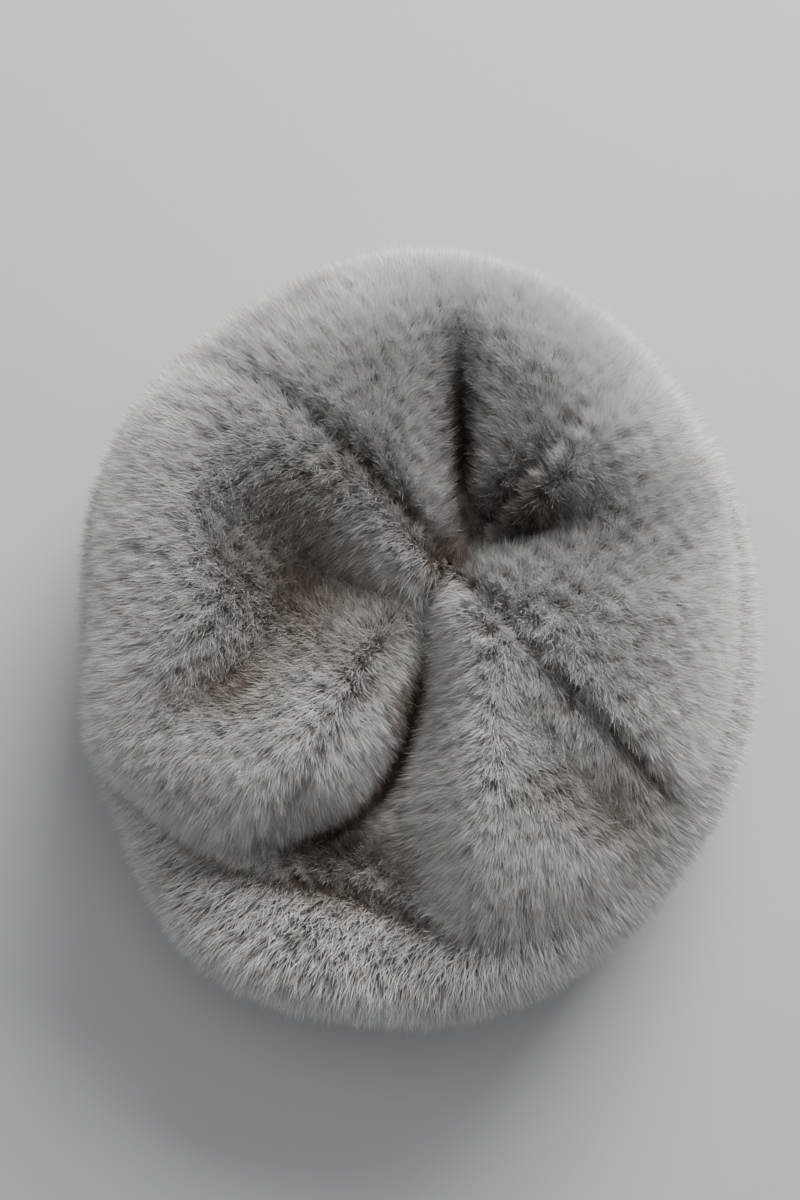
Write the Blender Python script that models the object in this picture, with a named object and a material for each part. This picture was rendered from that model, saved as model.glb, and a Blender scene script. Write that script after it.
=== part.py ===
"""Short-pile fur hat: a crown of four gores sewn to a side band, resting on its open hem.

The crown is soft and has sunk in, with a fold or a hollow in each gore.  Every piece is a closed
wall of fur fabric: the outer skin is the outside of the pile, the inner skin is the backing.

Places on the wall are given by a turn round the hat, in degrees from +X, and a station along the
section, from the hem over the shoulder to the middle of the crown.  Metres, +Z up, hem at z = 0.
"""

from collections import namedtuple

import bmesh
import bpy
import numpy as np

# Driving sizes
HALF_WIDTH = 0.1145
HALF_LENGTH = 0.1325
OUTLINE_MIDDLE = np.array([-0.0002, -0.0009])
HEM_REACH = 0.88
CROWN_MIDDLE = np.array([0.010, 0.020])
CROWN_MIDDLE_HEIGHT = 0.092
INNER_REACH = 0.36
WALL = 0.011
LEAST_WALL = 0.004
SEAM_GAP = 0.0007
SEAM_GROOVE = 0.005
SEAM_GROOVE_HALF_WIDTH = 0.0045
SIDE_GROOVE_SHARE = 0.3
UPRIGHT_REACH = 0.030
CREASE_HALF_WIDTH = 0.006
WELD = 0.00005
LINE_POINTS = 12
SHARP_FROM = 50
OUTER, INNER = 0, 1

# Cells of each sheet: across or round, then along the section
GORE_CELLS = (27, 20)
BAND_CELLS = (80, 7)
SEAM_STATION = 3.0
MIDDLE_STATION = 8.0
TIP_STATION = 7.98
HALF_GAP_STATIONS = 0.018
STATION_RUN = 0.022
SECTION_SAMPLES = 400
LAST_ROW = 0.999

# The outline seen from above is an oval with a few swells and dips
Swell = namedtuple("Swell", "turn share spread")
SWELLS = (
    Swell(turn=147, share=0.040, spread=20),
    Swell(turn=110, share=-0.018, spread=12),
    Swell(turn=199, share=0.025, spread=9),
    Swell(turn=236, share=0.058, spread=18),
    Swell(turn=298, share=-0.042, spread=30),
)

# Sections round the hat: reaches are shares of the outline, heights are in metres
Section = namedtuple(
    "Section",
    "turn belly belly_z roll roll_z seam seam_z bulge bulge_z shoulder shoulder_z top top_z inner_z",
)
SECTIONS = (
    Section(0, 1.005, 0.022, 1.015, 0.056, 0.900, 0.074, 0.955, 0.090, 0.870, 0.111, 0.66, 0.121, 0.112),
    Section(45, 1.000, 0.022, 1.015, 0.056, 0.900, 0.074, 0.955, 0.090, 0.875, 0.112, 0.66, 0.122, 0.112),
    Section(90, 0.990, 0.022, 0.995, 0.054, 0.900, 0.072, 0.975, 0.090, 0.890, 0.111, 0.68, 0.121, 0.111),
    Section(128, 1.000, 0.022, 1.015, 0.056, 0.900, 0.074, 0.955, 0.090, 0.875, 0.112, 0.66, 0.122, 0.112),
    Section(180, 1.000, 0.022, 1.005, 0.054, 0.895, 0.070, 0.975, 0.086, 0.905, 0.107, 0.70, 0.117, 0.108),
    Section(203, 1.000, 0.022, 1.000, 0.053, 0.900, 0.067, 0.995, 0.082, 0.915, 0.102, 0.70, 0.110, 0.103),
    Section(217, 1.010, 0.024, 1.005, 0.060, 0.850, 0.067, 0.905, 0.080, 0.840, 0.097, 0.64, 0.106, 0.100),
    Section(232, 1.015, 0.028, 0.985, 0.074, 0.720, 0.066, 0.745, 0.077, 0.690, 0.090, 0.54, 0.094, 0.094),
    Section(247, 1.020, 0.030, 0.950, 0.082, 0.655, 0.066, 0.625, 0.072, 0.560, 0.076, 0.45, 0.080, 0.086),
    Section(266, 1.020, 0.030, 0.955, 0.082, 0.700, 0.067, 0.665, 0.074, 0.600, 0.080, 0.46, 0.084, 0.089),
    Section(280, 1.020, 0.028, 0.990, 0.074, 0.810, 0.070, 0.820, 0.083, 0.750, 0.098, 0.57, 0.108, 0.104),
    Section(298, 1.010, 0.023, 1.010, 0.058, 0.895, 0.073, 0.950, 0.089, 0.870, 0.109, 0.66, 0.118, 0.111),
    Section(323, 1.000, 0.022, 1.010, 0.056, 0.900, 0.074, 0.955, 0.090, 0.870, 0.111, 0.66, 0.120, 0.112),
)

# The four seams of the crown, and how far each bows to the left on its way outwards
Seam = namedtuple("Seam", "turn bow")
SEAMS = {
    "back_right": Seam(turn=45, bow=0.0025),
    "back_left": Seam(turn=128.5, bow=-0.0035),
    "front_left": Seam(turn=231.6, bow=0.0070),
    "front_right": Seam(turn=323, bow=-0.0045),
}
GORES = {
    "crown_gore_back": ("back_right", "back_left"),
    "crown_gore_left": ("back_left", "front_left"),
    "crown_gore_front": ("front_left", "front_right"),
    "crown_gore_right": ("front_right", "back_right"),
}

# Folds, hollows and ridges, a row for each point that one runs through; a ridge has depth below zero
Stop = namedtuple("Stop", "x y depth half_width")
FOLDS = {
    "back_fold": (
        Stop(0.013, 0.088, 0.002, 0.010),
        Stop(0.0135, 0.070, 0.013, 0.010),
        Stop(0.0145, 0.047, 0.016, 0.010),
        Stop(0.011, 0.028, 0.006, 0.010),
    ),
    "back_right_pocket": (
        Stop(0.021, 0.031, 0.006, 0.007),
        Stop(0.032, 0.041, 0.004, 0.006),
    ),
    "right_fold": (
        Stop(0.022, 0.020, 0.006, 0.007),
        Stop(0.038, 0.022, 0.013, 0.008),
        Stop(0.056, 0.025, 0.004, 0.009),
    ),
    "left_hollow": (
        Stop(0.000, 0.010, 0.004, 0.011),
        Stop(-0.020, 0.014, 0.018, 0.015),
        Stop(-0.042, 0.015, 0.023, 0.017),
        Stop(-0.056, -0.002, 0.018, 0.016),
        Stop(-0.060, -0.024, 0.014, 0.013),
    ),
    "front_fold": (
        Stop(0.005, 0.006, 0.006, 0.008),
        Stop(-0.001, -0.022, 0.018, 0.008),
        Stop(-0.006, -0.046, 0.014, 0.009),
        Stop(-0.024, -0.068, 0.010, 0.008),
        Stop(-0.050, -0.075, 0.006, 0.008),
    ),
    "left_lobe": (
        Stop(-0.014, -0.005, -0.006, 0.011),
        Stop(-0.031, -0.033, -0.016, 0.014),
        Stop(-0.056, -0.052, -0.012, 0.018),
    ),
    "front_pleat": (
        Stop(-0.009, -0.014, -0.004, 0.008),
        Stop(-0.017, -0.034, -0.013, 0.010),
        Stop(-0.028, -0.053, -0.014, 0.010),
    ),
    "front_ridge": (
        Stop(0.016, -0.010, -0.004, 0.012),
        Stop(0.022, -0.050, -0.006, 0.018),
        Stop(0.018, -0.084, -0.010, 0.018),
    ),
    "front_right_hollow": (
        Stop(0.036, -0.034, 0.003, 0.014),
        Stop(0.055, -0.060, 0.005, 0.014),
    ),
}

# Narrow creases where the pile parts without moving the backing
CREASES = {
    "back_fold": 0.005,
    "right_fold": 0.003,
    "front_fold": 0.005,
}

# Steps over which the dome's direction is taken, wide so that the wall's inside stays smooth
DIRECTION_TURN_STEP = 3.0
DIRECTION_STATION_STEP = 0.3

FUR_COLOUR = (0.50, 0.465, 0.43, 1.0)
FUR_ROUGHNESS = 0.9


def between(values, position):
    """Smooth curve drawn by evenly spaced values (last axis), read at positions counted from 0."""
    first = 2 * values[..., :1] - values[..., 1:2]
    last = 2 * values[..., -1:] - values[..., -2:-1]
    padded = np.concatenate([first, values, last], axis=-1)
    low = np.clip(np.floor(position).astype(int), 0, values.shape[-1] - 2)
    part = position - low
    pulls = (
        (1 - part) ** 3 / 6,
        (3 * part ** 3 - 6 * part ** 2 + 4) / 6,
        (-3 * part ** 3 + 3 * part ** 2 + 3 * part + 1) / 6,
        part ** 3 / 6,
    )
    return sum(
        pull * np.take_along_axis(padded, (low + step)[..., None], axis=-1)[..., 0]
        for step, pull in enumerate(pulls)
    )


def round_the_hat(turns, values, turn):
    """Smooth closed curve through values at given turns, read at any turn in degrees."""
    turns = np.asarray(turns, dtype=float)
    values = np.asarray(values, dtype=float)
    knots = np.concatenate([turns - 360, turns, turns + 360])
    heights = np.concatenate([values, values, values])
    slopes = np.gradient(heights, knots)
    angle = np.mod(turn, 360.0)
    low = np.searchsorted(knots, angle, side="right") - 1
    step = knots[low + 1] - knots[low]
    part = (angle - knots[low]) / step
    rise = part * part * (3 - 2 * part)
    start_pull = part * (1 - part) ** 2 * step * slopes[low]
    end_pull = part * part * (part - 1) * step * slopes[low + 1]
    return heights[low] * (1 - rise) + heights[low + 1] * rise + start_pull + end_pull


def outline(turn):
    """Points of the outline seen from above, as x and y."""
    angle = np.radians(turn)
    share = np.ones_like(angle)
    for swell in SWELLS:
        away = (turn - swell.turn + 180) % 360 - 180
        share = share + swell.share * np.exp(-((away / swell.spread) ** 2))
    reach = share / np.hypot(np.cos(angle) / HALF_WIDTH, np.sin(angle) / HALF_LENGTH)
    return OUTLINE_MIDDLE[0] + reach * np.cos(angle), OUTLINE_MIDDLE[1] + reach * np.sin(angle)


def section_points(turn):
    """Reaches and heights of a section's stations, the last axis running from hem to middle."""
    turns = [section.turn for section in SECTIONS]

    def column(name):
        return round_the_hat(turns, [getattr(section, name) for section in SECTIONS], turn)

    names = ("belly", "roll", "seam", "bulge", "shoulder", "top")
    flat = np.zeros_like(turn)
    reaches = [flat + HEM_REACH] + [column(name) for name in names] + [flat + INNER_REACH, flat]
    heights = [flat] + [column(name + "_z") for name in names]
    heights = heights + [column("inner_z"), flat + CROWN_MIDDLE_HEIGHT]
    return np.stack(reaches, axis=-1), np.stack(heights, axis=-1)


def fold_line(stops):
    """Points close together along a fold, each with its x, y, depth and half width."""
    columns = np.array(stops).T
    samples = np.linspace(0, len(stops) - 1, LINE_POINTS * (len(stops) - 1) + 1)
    return np.stack([between(np.tile(column, (len(samples), 1)), samples) for column in columns])


def strongest_pull(line_x, line_y, pull, half_width, points):
    """The largest of the pulls that a line's points have on each of the given points."""
    away = (points[..., :1] - line_x) ** 2 + (points[..., 1:2] - line_y) ** 2
    felt = pull * np.exp(-away / half_width ** 2)
    strongest = np.argmax(np.abs(felt), axis=-1)[..., None]
    return np.take_along_axis(felt, strongest, axis=-1)[..., 0]


def seam_bow(turn):
    """How far the lines that run outwards bow to the left at a turn."""
    seams = sorted(SEAMS.values())
    knots = np.array([seam.turn for seam in seams])
    bows = np.array([seam.bow for seam in seams])
    return np.interp(np.mod(turn, 360.0), knots, bows, period=360)


def dome(turn, station):
    """Outside of the crown and band before they are folded, as an array of points."""
    reaches, heights = section_points(turn)
    reach = between(reaches, station)
    height = between(heights, station)
    edge_x, edge_y = outline(turn)
    out_x = edge_x - CROWN_MIDDLE[0]
    out_y = edge_y - CROWN_MIDDLE[1]
    length = np.hypot(out_x, out_y)
    bow = seam_bow(turn) * np.sin(np.pi * np.clip(reach, 0, 1)) / length
    x = CROWN_MIDDLE[0] + reach * out_x - bow * out_y
    y = CROWN_MIDDLE[1] + reach * out_y + bow * out_x
    return np.stack([x, y, height], axis=-1)


def skin(turn, station):
    """Outside of the pile with its folds, before the seams and creases part it."""
    points = dome(turn, station)
    crown_share = np.clip(station - SEAM_STATION, 0, 1)
    drop = sum(strongest_pull(*fold_line(stops), points) for stops in FOLDS.values())
    points[..., 2] -= drop * crown_share
    return points


def middle_reach(points):
    """Distance of points from the middle of the crown, seen from above."""
    return np.hypot(points[..., 0] - CROWN_MIDDLE[0], points[..., 1] - CROWN_MIDDLE[1])


def outward(turn, station):
    """Unit directions straight out of the dome, in which the wall's thickness is measured."""
    round_way = dome(turn + DIRECTION_TURN_STEP, station) - dome(turn - DIRECTION_TURN_STEP, station)
    low = np.clip(station - DIRECTION_STATION_STEP, 0, None)
    high = np.clip(station + DIRECTION_STATION_STEP, None, MIDDLE_STATION)
    inward_way = dome(turn, high) - dome(turn, low)
    direction = np.cross(round_way, inward_way)
    direction /= np.linalg.norm(direction, axis=-1, keepdims=True)
    middle_share = np.exp(-((middle_reach(dome(turn, station)) / UPRIGHT_REACH) ** 2))[..., None]
    direction = direction * (1 - middle_share) + np.array([0, 0, 1]) * middle_share
    return direction / np.linalg.norm(direction, axis=-1, keepdims=True)


def parting(turn, station, points):
    """Depth to which the pile parts at the seams and in the narrow creases."""
    depth = np.zeros_like(turn)
    reach = middle_reach(points)
    crown_groove = SEAM_GROOVE * np.clip(SIDE_GROOVE_SHARE * (station - SEAM_STATION), 0, 1)
    for seam in SEAMS.values():
        away = np.abs(np.radians((turn - seam.turn + 180) % 360 - 180)) * reach
        depth = np.maximum(depth, crown_groove * np.exp(-((away / SEAM_GROOVE_HALF_WIDTH) ** 2)))
    away = np.abs(station - SEAM_STATION) * STATION_RUN
    depth = np.maximum(depth, SEAM_GROOVE * np.exp(-((away / SEAM_GROOVE_HALF_WIDTH) ** 2)))
    for name, most in CREASES.items():
        line_x, line_y, fold_depth, _ = fold_line(FOLDS[name])
        pull = most * fold_depth / fold_depth.max()
        depth = depth + strongest_pull(line_x, line_y, pull, CREASE_HALF_WIDTH, points)
    return np.clip(depth, 0, WALL - LEAST_WALL)


def wall_points(turn, station):
    """Outer and inner points of the wall; the hem's points stay level."""
    points = skin(turn, station)
    direction = outward(turn, station)
    at_hem = station <= 0
    direction[at_hem, 2] = 0
    direction /= np.linalg.norm(direction, axis=-1, keepdims=True)
    outer = points - parting(turn, station, points)[..., None] * direction
    inner = points - WALL * direction
    return outer, inner


def thick_sheet(cells, place):
    """A grid laid on the outer skin, welded where its edges meet, then extruded to the inner skin."""
    mesh = bmesh.new()
    bmesh.ops.create_grid(mesh, x_segments=cells[0], y_segments=cells[1], size=0.5)
    across = mesh.verts.layers.float.new("across")
    along = mesh.verts.layers.float.new("along")
    for vertex in mesh.verts:
        vertex[across] = vertex.co.x + 0.5
        vertex[along] = vertex.co.y + 0.5

    def lay(vertices, side):
        points = place(np.array([v[across] for v in vertices]), np.array([v[along] for v in vertices]))[side]
        for vertex, point in zip(vertices, points):
            vertex.co = point

    lay(mesh.verts[:], OUTER)
    bmesh.ops.remove_doubles(mesh, verts=mesh.verts[:], dist=WELD)
    doubled = bmesh.ops.extrude_face_region(mesh, geom=mesh.faces[:], use_keep_orig=True)
    lay([item for item in doubled["geom"] if isinstance(item, bmesh.types.BMVert)], INNER)
    bmesh.ops.recalc_face_normals(mesh, faces=mesh.faces[:])
    return mesh


def even_stations(low, high, along):
    """Stations from low to high that split the section on the right into equal lengths."""
    samples = np.linspace(low, high, SECTION_SAMPLES)
    path = dome(np.zeros_like(samples), samples)
    run = np.concatenate([[0], np.cumsum(np.linalg.norm(np.diff(path, axis=0), axis=1))])
    return np.interp(along * run[-1], run, samples)


def gore_place(start, end):
    """Function that puts a grid's points on the gore between two seams, its last row at the tip."""
    span = (end.turn - start.turn) % 360

    def place(across, along):
        station = even_stations(SEAM_STATION + HALF_GAP_STATIONS, TIP_STATION, along)
        reach = middle_reach(dome(start.turn + span * across, station))
        inset = np.degrees(SEAM_GAP / 2 / reach)
        turn = start.turn + span * across + inset * (1 - 2 * across)
        turn = np.where(along > LAST_ROW, start.turn + span / 2, turn)
        return wall_points(turn, station)

    return place


def band_place(across, along):
    """Put a grid's points on the side band, all the way round."""
    return wall_points(360 * across, even_stations(0, SEAM_STATION - HALF_GAP_STATIONS, along))


def fur_material(name):
    """Soft matt fur colour."""
    material = bpy.data.materials.new(name)
    material.use_nodes = True
    shader = material.node_tree.nodes["Principled BSDF"]
    shader.inputs["Base Color"].default_value = FUR_COLOUR
    shader.inputs["Roughness"].default_value = FUR_ROUGHNESS
    shader.inputs["Metallic"].default_value = 0.0
    return material


def add_piece(collection, name, mesh):
    """Make one named object from a finished bmesh."""
    data = bpy.data.meshes.new(name)
    mesh.to_mesh(data)
    mesh.free()
    data.shade_smooth()
    data.set_sharp_from_angle(angle=np.radians(SHARP_FROM))
    data.materials.append(fur_material(name + "_fur"))
    piece = bpy.data.objects.new(name, data)
    collection.objects.link(piece)
    return piece


def main():
    """Clear the scene and build the hat."""
    for old in list(bpy.data.objects):
        bpy.data.objects.remove(old, do_unlink=True)
    collection = bpy.data.collections.new("fur_hat")
    bpy.context.scene.collection.children.link(collection)
    for name, (start, end) in GORES.items():
        add_piece(collection, name, thick_sheet(GORE_CELLS, gore_place(SEAMS[start], SEAMS[end])))
    add_piece(collection, "side_band", thick_sheet(BAND_CELLS, band_place))


main()
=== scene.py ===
"""Looks of a short-pile fur hat: a sunken crown of four gores over a rolled side band.

Each piece of the hat is a hide, the fabric that the pile grows on, and a pile of single hairs.
Places on the hat are given by a turn round it, in degrees from +X, and a station along the
section, from the hem over the shoulder to the middle of the crown.  Metres, +Z up, hem at z = 0.
"""

import logging
import math
from dataclasses import dataclass
from enum import Enum
from typing import NamedTuple

import bmesh
import bpy
import numpy as np
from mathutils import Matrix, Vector


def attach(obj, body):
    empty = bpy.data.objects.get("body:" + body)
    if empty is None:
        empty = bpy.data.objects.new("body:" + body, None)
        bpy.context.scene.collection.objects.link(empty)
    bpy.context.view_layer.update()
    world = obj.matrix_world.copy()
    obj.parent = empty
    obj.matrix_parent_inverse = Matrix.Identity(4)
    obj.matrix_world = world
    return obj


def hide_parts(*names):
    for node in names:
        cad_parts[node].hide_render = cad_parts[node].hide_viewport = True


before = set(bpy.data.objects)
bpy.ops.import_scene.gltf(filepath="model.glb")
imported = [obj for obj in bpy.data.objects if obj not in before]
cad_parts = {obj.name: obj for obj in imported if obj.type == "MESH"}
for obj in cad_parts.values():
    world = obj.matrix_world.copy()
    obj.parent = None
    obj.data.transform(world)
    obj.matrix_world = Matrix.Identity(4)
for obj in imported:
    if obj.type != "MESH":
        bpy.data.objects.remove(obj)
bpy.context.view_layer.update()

SEED = 1729

logging.basicConfig(level=logging.INFO, format="%(message)s")
log = logging.getLogger("hat")


class Swell(NamedTuple):
    """A place where the outline stands out of the oval, or in where its share is below zero."""

    turn: float
    share: float
    spread: float


class Section(NamedTuple):
    """A section at one turn: reaches are shares of the outline, heights are metres."""

    turn: float
    belly: float
    belly_z: float
    roll: float
    roll_z: float
    seam: float
    seam_z: float
    bulge: float
    bulge_z: float
    shoulder: float
    shoulder_z: float
    top: float
    top_z: float
    inner_z: float


class Seam(NamedTuple):
    """A crown seam, how far it bows to the left on its way outwards, and curls at its end."""

    turn: float
    bow: float
    curl: float


class Stop(NamedTuple):
    """A point that a fold runs through; a ridge has depth below zero."""

    x: float
    y: float
    depth: float
    half_width: float


@dataclass(frozen=True)
class HatSizes:
    """Driving sizes of the hat's form, the same as in the CAD part."""

    half_width: float = 0.1145
    half_length: float = 0.1325
    outline_middle: tuple[float, float] = (-0.0002, -0.0009)
    hem_reach: float = 0.88
    middle: tuple[float, float] = (0.010, 0.020)
    middle_height: float = 0.092
    inner_reach: float = 0.36
    wall: float = 0.011
    seam_groove: float = 0.005
    groove_half_width: float = 0.0045
    side_groove_share: float = 0.3
    upright_reach: float = 0.030
    section_run: float = 0.022
    crease_half_width: float = 0.006
    deepest_parting: float = 0.007
    turn_step: float = 3.0
    station_step: float = 0.3


SEAM_STATION = 3.0
TIP_STATION = 7.98
END_STATION = 8.0

SWELLS = (
    Swell(147, 0.040, 20),
    Swell(110, -0.018, 12),
    Swell(199, 0.025, 9),
    Swell(236, 0.058, 18),
    Swell(298, -0.042, 30),
)

SECTIONS = (
    Section(0, 1.000, 0.026, 1.012, 0.072, 0.860, 0.096, 0.850, 0.104, 0.790, 0.113, 0.64, 0.121, 0.112),
    Section(45, 1.000, 0.026, 1.012, 0.072, 0.890, 0.096, 0.880, 0.104, 0.820, 0.113, 0.65, 0.122, 0.112),
    Section(90, 0.995, 0.026, 1.000, 0.072, 0.905, 0.096, 0.890, 0.104, 0.830, 0.112, 0.66, 0.121, 0.111),
    Section(128, 1.000, 0.026, 1.012, 0.070, 0.905, 0.095, 0.890, 0.104, 0.830, 0.113, 0.66, 0.122, 0.112),
    Section(180, 1.000, 0.024, 1.008, 0.062, 0.945, 0.084, 0.940, 0.094, 0.870, 0.107, 0.68, 0.117, 0.108),
    Section(203, 1.000, 0.022, 1.000, 0.056, 0.955, 0.072, 0.970, 0.084, 0.890, 0.101, 0.68, 0.110, 0.103),
    Section(217, 1.010, 0.024, 1.005, 0.062, 0.870, 0.074, 0.870, 0.083, 0.800, 0.094, 0.63, 0.104, 0.100),
    Section(232, 1.015, 0.028, 0.990, 0.074, 0.750, 0.073, 0.730, 0.080, 0.670, 0.087, 0.53, 0.092, 0.094),
    Section(247, 1.020, 0.030, 0.965, 0.082, 0.665, 0.069, 0.630, 0.073, 0.560, 0.076, 0.45, 0.080, 0.086),
    Section(266, 1.020, 0.030, 0.970, 0.082, 0.715, 0.073, 0.680, 0.078, 0.610, 0.082, 0.46, 0.086, 0.089),
    Section(280, 1.020, 0.030, 0.995, 0.080, 0.810, 0.088, 0.770, 0.091, 0.700, 0.096, 0.55, 0.101, 0.101),
    Section(298, 1.010, 0.028, 1.010, 0.076, 0.860, 0.095, 0.830, 0.100, 0.770, 0.106, 0.62, 0.113, 0.109),
    Section(323, 1.000, 0.026, 1.010, 0.072, 0.865, 0.096, 0.855, 0.104, 0.795, 0.113, 0.64, 0.120, 0.112),
)

SEAMS = {
    "back_right": Seam(45, 0.0025, 0.0),
    "back_left": Seam(128.5, -0.0035, 0.013),
    "front_left": Seam(231.6, 0.0070, 0.0),
    "front_right": Seam(323, -0.0045, 0.0),
}

GORES = {
    "crown_gore_back": ("back_right", "back_left"),
    "crown_gore_left": ("back_left", "front_left"),
    "crown_gore_front": ("front_left", "front_right"),
    "crown_gore_right": ("front_right", "back_right"),
}

FOLDS = {
    "back_fold": (
        Stop(0.012, 0.092, 0.002, 0.012),
        Stop(0.0125, 0.074, 0.015, 0.016),
        Stop(0.0140, 0.050, 0.018, 0.014),
        Stop(0.0125, 0.030, 0.009, 0.009),
    ),
    "right_ridge": (
        Stop(0.038, 0.040, -0.005, 0.008),
        Stop(0.056, 0.053, -0.008, 0.010),
        Stop(0.078, 0.068, -0.004, 0.011),
    ),
    "right_crest": (
        Stop(0.024, 0.004, -0.002, 0.012),
        Stop(0.044, 0.000, -0.006, 0.015),
        Stop(0.066, -0.002, -0.003, 0.016),
    ),
    "back_right_pocket": (
        Stop(0.018, 0.027, 0.005, 0.006),
        Stop(0.027, 0.037, 0.008, 0.006),
        Stop(0.036, 0.047, 0.003, 0.006),
    ),
    "right_fold": (
        Stop(0.020, 0.022, 0.005, 0.007),
        Stop(0.035, 0.026, 0.012, 0.007),
        Stop(0.052, 0.029, 0.003, 0.008),
    ),
    "left_hollow": (
        Stop(-0.002, 0.008, 0.007, 0.010),
        Stop(-0.016, 0.011, 0.017, 0.012),
        Stop(-0.034, 0.021, 0.020, 0.016),
        Stop(-0.052, 0.030, 0.010, 0.014),
    ),
    "left_basin": (
        Stop(-0.020, 0.000, 0.003, 0.014),
        Stop(-0.042, 0.004, 0.008, 0.020),
    ),
    "small_hollow": (
        Stop(-0.052, -0.014, 0.006, 0.012),
        Stop(-0.060, -0.021, 0.011, 0.011),
        Stop(-0.080, -0.031, 0.004, 0.013),
    ),
    "front_fold": (
        Stop(0.005, 0.006, 0.006, 0.008),
        Stop(0.000, -0.022, 0.018, 0.011),
        Stop(-0.006, -0.046, 0.018, 0.013),
        Stop(-0.022, -0.066, 0.015, 0.011),
        Stop(-0.050, -0.075, 0.007, 0.009),
    ),
    "front_flat": (
        Stop(-0.010, -0.066, 0.006, 0.012),
        Stop(-0.002, -0.088, 0.006, 0.012),
    ),
    "left_lobe": (
        Stop(-0.010, -0.010, -0.003, 0.009),
        Stop(-0.026, -0.035, -0.009, 0.010),
        Stop(-0.048, -0.058, -0.005, 0.013),
    ),
    "front_pleat": (
        Stop(-0.009, -0.016, -0.003, 0.008),
        Stop(-0.016, -0.036, -0.010, 0.008),
        Stop(-0.026, -0.053, -0.009, 0.009),
    ),
    "front_ridge": (
        Stop(0.015, -0.006, -0.004, 0.010),
        Stop(0.014, -0.040, -0.009, 0.011),
        Stop(0.014, -0.072, -0.007, 0.012),
        Stop(0.014, -0.092, -0.002, 0.013),
    ),
    "front_right_hollow": (
        Stop(0.034, -0.034, 0.006, 0.013),
        Stop(0.058, -0.060, 0.010, 0.014),
    ),
}

CREASES = {"back_fold": 0.005, "right_fold": 0.003, "front_fold": 0.005}

# How dark the parted pile shows along each seam, by the distance from the crown's middle
SEAM_SHOWS = {
    "back_left": ((0.0, 0.4), (0.025, 0.9), (0.050, 0.8), (0.080, 0.35), (0.110, 0.2)),
    "back_right": ((0.0, 0.6), (0.030, 0.7), (0.055, 0.4), (0.085, 0.25), (0.110, 0.1)),
    "front_left": ((0.0, 0.4), (0.030, 0.35), (0.055, 0.3), (0.080, 0.5), (0.110, 0.4)),
    "front_right": ((0.0, 0.3), (0.025, 0.5), (0.055, 0.9), (0.090, 0.8), (0.115, 0.4)),
}


class PaintedSpot(NamedTuple):
    """A spot of painted shade on the pile, by its middle, reach and strength; where the strength is below
    zero it is painted light.
    """

    x: float
    y: float
    reach: float
    strength: float


# Painted shade in the hollows, in the folds and at the rim where the crown turns from the light, over some
# brown of the parted roots; painted light, strength below zero, on the lit top and ridges
PAINTED_LIGHT_AND_SHADE = (
    PaintedSpot(-0.036, 0.022, 0.024, 0.36),
    PaintedSpot(-0.012, 0.008, 0.010, 0.25),
    PaintedSpot(-0.058, -0.020, 0.013, 0.36),
    PaintedSpot(-0.078, -0.030, 0.012, 0.12),
    PaintedSpot(0.014, 0.072, 0.011, 0.30),
    PaintedSpot(0.015, 0.052, 0.010, 0.34),
    PaintedSpot(0.038, 0.029, 0.009, 0.36),
    PaintedSpot(0.026, 0.037, 0.008, 0.30),
    PaintedSpot(0.000, -0.024, 0.011, 0.24),
    PaintedSpot(-0.006, -0.048, 0.012, 0.28),
    PaintedSpot(-0.028, -0.070, 0.013, 0.46),
    PaintedSpot(-0.006, -0.076, 0.016, 0.26),
    PaintedSpot(0.060, -0.062, 0.016, 0.30),
    PaintedSpot(0.034, -0.028, 0.014, 0.18),
    PaintedSpot(-0.034, 0.104, 0.010, 0.25),
    PaintedSpot(-0.055, 0.094, 0.010, 0.15),
    PaintedSpot(-0.074, 0.084, 0.010, 0.15),
    PaintedSpot(0.052, 0.102, 0.012, 0.16),
    PaintedSpot(0.005, 0.104, 0.038, -0.18),
    PaintedSpot(0.050, 0.088, 0.030, -0.12),
    PaintedSpot(0.062, 0.060, 0.018, -0.14),
    PaintedSpot(0.044, -0.002, 0.018, -0.12),
    PaintedSpot(-0.016, -0.102, 0.024, -0.08),
    PaintedSpot(-0.031, -0.008, 0.014, 0.15),
    PaintedSpot(-0.048, -0.002, 0.014, 0.10),
    PaintedSpot(-0.012, -0.026, 0.009, 0.16),
    PaintedSpot(0.009, 0.018, 0.008, 0.26),
    PaintedSpot(0.044, -0.056, 0.014, 0.12),
    PaintedSpot(-0.098, 0.045, 0.024, 0.07),
)

# How much brown shows in the valley of the band's seam, and how deep the pile parts there, by turn
BAND_SEAM_SHOWS = (
    (0, 0.25), (45, 0.20), (90, 0.15), (128, 0.32), (180, 0.25), (217, 0.40),
    (235, 0.75), (262, 0.75), (275, 0.25), (290, 0.05), (323, 0.08),
)
BAND_SEAM_PARTS = (
    (0, 0.5), (90, 0.4), (128, 0.5), (180, 0.5), (217, 0.6), (235, 1.0), (262, 1.0), (278, 0.3), (323, 0.3),
)


def between(values: np.ndarray, position: np.ndarray) -> np.ndarray:
    """Reads the smooth curve drawn by evenly spaced values.

    Args:
        values: the values, along the last axis.
        position: where to read, counted from 0.

    Returns:
        The curve at those positions.
    """
    first = 2 * values[..., :1] - values[..., 1:2]
    last = 2 * values[..., -1:] - values[..., -2:-1]
    padded = np.concatenate([first, values, last], axis=-1)
    low = np.clip(np.floor(position).astype(int), 0, values.shape[-1] - 2)
    part = position - low
    pulls = (
        (1 - part) ** 3 / 6,
        (3 * part**3 - 6 * part**2 + 4) / 6,
        (-3 * part**3 + 3 * part**2 + 3 * part + 1) / 6,
        part**3 / 6,
    )
    return sum(
        pull * np.take_along_axis(padded, (low + step)[..., None], axis=-1)[..., 0]
        for step, pull in enumerate(pulls)
    )


def unit(vectors: np.ndarray) -> np.ndarray:
    """Returns the vectors (last axis) at length one."""
    return vectors / np.maximum(np.linalg.norm(vectors, axis=-1, keepdims=True), 1e-12)


def turn_away(turn: np.ndarray, other: float) -> np.ndarray:
    """Returns the angle from another turn, from -180 to 180 degrees."""
    return (turn - other + 180) % 360 - 180


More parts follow.
